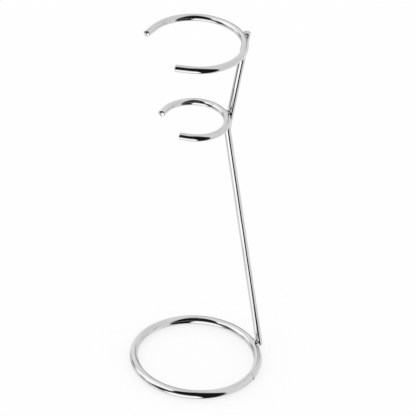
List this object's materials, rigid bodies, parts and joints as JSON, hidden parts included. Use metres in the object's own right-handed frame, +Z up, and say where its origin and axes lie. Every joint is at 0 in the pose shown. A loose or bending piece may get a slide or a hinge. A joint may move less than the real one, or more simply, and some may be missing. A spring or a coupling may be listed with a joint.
{
  "type": "shaving brush stand",
  "caption": "Free-standing chrome-plated wire stand: a closed ring for a base, an upright bent rod at its back, and open ring holders near the top.",
  "frame": {"origin": "centre of the base ring, on the table that the ring lies on", "axes": "+Z up; the rod stands at +Y, the back; the holders' mouths open towards -Y, the front; +X is the stand's right side seen from the front"},
  "size_m": [0.062, 0.0656, 0.1787],
  "materials": {
    "chrome_wire": "bright chrome plate over drawn steel wire",
    "chrome_weld": "chrome plate over weld metal, slightly uneven"
  },
  "bodies": {
    "root": {"base_ring": "chrome_wire", "base_ring_butt_weld": "chrome_weld", "upright_rod": "chrome_wire", "lower_holder_ring": "chrome_wire", "upper_holder_ring": "chrome_wire", "foot_weld": "chrome_weld", "lower_holder_weld": "chrome_weld", "upper_holder_weld": "chrome_weld"}
  },
  "joints": []
}
